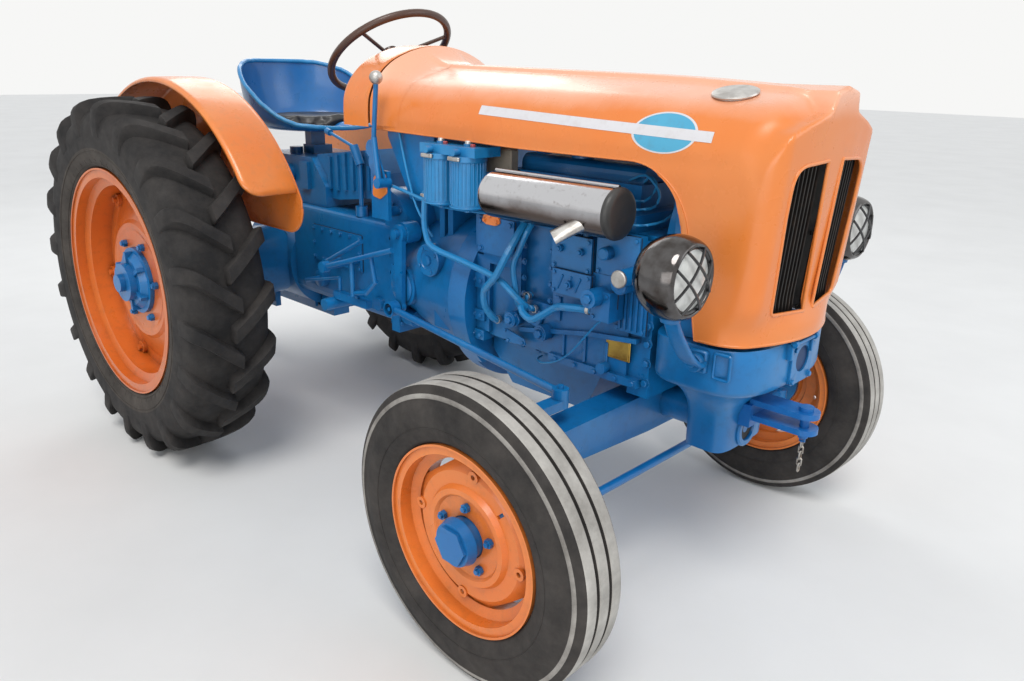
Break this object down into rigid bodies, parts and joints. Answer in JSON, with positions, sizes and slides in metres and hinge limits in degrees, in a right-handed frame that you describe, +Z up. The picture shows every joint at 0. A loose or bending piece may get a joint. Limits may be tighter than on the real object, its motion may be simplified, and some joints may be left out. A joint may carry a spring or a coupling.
{
  "type": "vintage tractor",
  "caption": "Small vintage farm tractor with an open engine, tilting hood, steered front wheels and lugged rear tyres.",
  "frame": {"origin": "on the ground under the middle of the tractor's bounding box", "axes": "+X forward along the length, +Y to the left, +Z up"},
  "size_m": [2.8099, 1.545, 1.4837],
  "materials": {
    "orange_paint": "glossy enamel",
    "blue_paint": "glossy enamel",
    "bright_steel": "polished, lightly browned by heat",
    "black_paint": "satin",
    "lamp_shell": "bright, tarnished",
    "tyre_rubber": "matt",
    "black_vinyl": "satin padded cover",
    "wheel_rim": "dark brown, worn"
  },
  "bodies": {
    "chassis": {"engine_block": "blue_paint", "clutch_housing": "blue_paint", "gearbox": "blue_paint", "rear_axle": "blue_paint", "lift_housing": "blue_paint", "front_support": "blue_paint", "front_axle": "blue_paint", "front_hitch": "blue_paint", "headlamps": "lamp_shell", "radiator": "blue_paint", "silencer": "bright_steel", "air_pipe": "blue_paint", "fuel_filters": "blue_paint", "injection_pump": "blue_paint", "hoses": "blue_paint", "fuel_tank": "blue_paint", "cowl": "orange_paint", "steering_column": "blue_paint", "fender_left": "orange_paint", "fender_right": "orange_paint", "seat_pan": "blue_paint", "seat_cushion": "black_vinyl", "controls": "blue_paint", "drawbar": "blue_paint"},
    "hood": {"hood": "orange_paint", "grille": "black_paint"},
    "lift_arms": {"lift_arms": "blue_paint"},
    "steering_wheel": {"steering_wheel": "wheel_rim"},
    "drop_arm": {"drop_arm": "blue_paint"},
    "drag_link": {"drag_link": "blue_paint"},
    "tie_rod": {"tie_rod": "blue_paint"},
    "knuckle_left": {"knuckle_left": "blue_paint"},
    "knuckle_right": {"knuckle_right": "blue_paint"},
    "front_wheel_left": {"front_tyre_left": "tyre_rubber", "front_rim_left": "orange_paint", "front_hub_left": "blue_paint"},
    "front_wheel_right": {"front_tyre_right": "tyre_rubber", "front_rim_right": "orange_paint", "front_hub_right": "blue_paint"},
    "rear_wheel_left": {"rear_tyre_left": "tyre_rubber", "rear_rim_left": "orange_paint", "rear_hub_left": "blue_paint"},
    "rear_wheel_right": {"rear_tyre_right": "tyre_rubber", "rear_rim_right": "orange_paint", "rear_hub_right": "blue_paint"}
  },
  "joints": [
    {"name": "steer_right", "type": "hinge", "parent": "chassis", "child": "knuckle_right", "pos_m": [0.96, -0.52, 0.48], "axis": [0, 0, 1], "range_deg": [-35, 35]},
    {"name": "steer_left", "type": "hinge", "parent": "chassis", "child": "knuckle_left", "pos_m": [0.96, 0.52, 0.48], "axis": [0, 0, 1], "range_deg": [-36, 36]},
    {"name": "tie_rod_pivot", "type": "hinge", "parent": "knuckle_right", "child": "tie_rod", "pos_m": [1.07, -0.52, 0.384], "axis": [0, 0, 1], "range_deg": [-36, 36]},
    {"name": "drag_link_pivot", "type": "hinge", "parent": "knuckle_right", "child": "drag_link", "pos_m": [0.96, -0.405, 0.608], "axis": [0, 0, 1], "range_deg": [-36, 36]},
    {"name": "drop_arm_swing", "type": "hinge", "parent": "chassis", "child": "drop_arm", "pos_m": [0.143, -0.22, 0.833], "axis": [0, 1, 0], "range_deg": [-18, 18]},
    {"name": "steering_wheel_turn", "type": "hinge", "parent": "chassis", "child": "steering_wheel", "pos_m": [-0.16, 0, 1.353], "axis": [-0.5878, 0, 0.809], "range_deg": [-460, 460]},
    {"name": "hood_tilt", "type": "hinge", "parent": "chassis", "child": "hood", "pos_m": [1.347, 0, 0.742], "axis": [0, 1, 0], "range_deg": [0, 55]},
    {"name": "lift_arms_swing", "type": "hinge", "parent": "chassis", "child": "lift_arms", "pos_m": [-0.775, 0, 0.93], "axis": [0, 1, 0], "range_deg": [0, 50]},
    {"name": "front_wheel_left_spin", "type": "hinge", "parent": "knuckle_left", "child": "front_wheel_left", "pos_m": [0.96, 0.667, 0.3546], "axis": [0, 0.9994, -0.0349], "continuous": true},
    {"name": "front_wheel_right_spin", "type": "hinge", "parent": "knuckle_right", "child": "front_wheel_right", "pos_m": [0.96, -0.667, 0.3546], "axis": [0, 0.9994, 0.0349], "continuous": true},
    {"name": "rear_wheel_left_spin", "type": "hinge", "parent": "chassis", "child": "rear_wheel_left", "pos_m": [-0.705, 0.63, 0.6025], "axis": [0, 1, 0], "continuous": true},
    {"name": "rear_wheel_right_spin", "type": "hinge", "parent": "chassis", "child": "rear_wheel_right", "pos_m": [-0.705, -0.63, 0.6025], "axis": [0, 1, 0], "continuous": true}
  ],
  "couplings": [
    {"joint": "steer_left", "follows": "steer_right", "ratio": 1},
    {"joint": "tie_rod_pivot", "follows": "steer_right", "ratio": -1},
    {"joint": "drag_link_pivot", "follows": "steer_right", "ratio": -1},
    {"joint": "drop_arm_swing", "follows": "steer_right", "ratio": 0.4762},
    {"joint": "steering_wheel_turn", "follows": "steer_right", "ratio": 13}
  ]
}
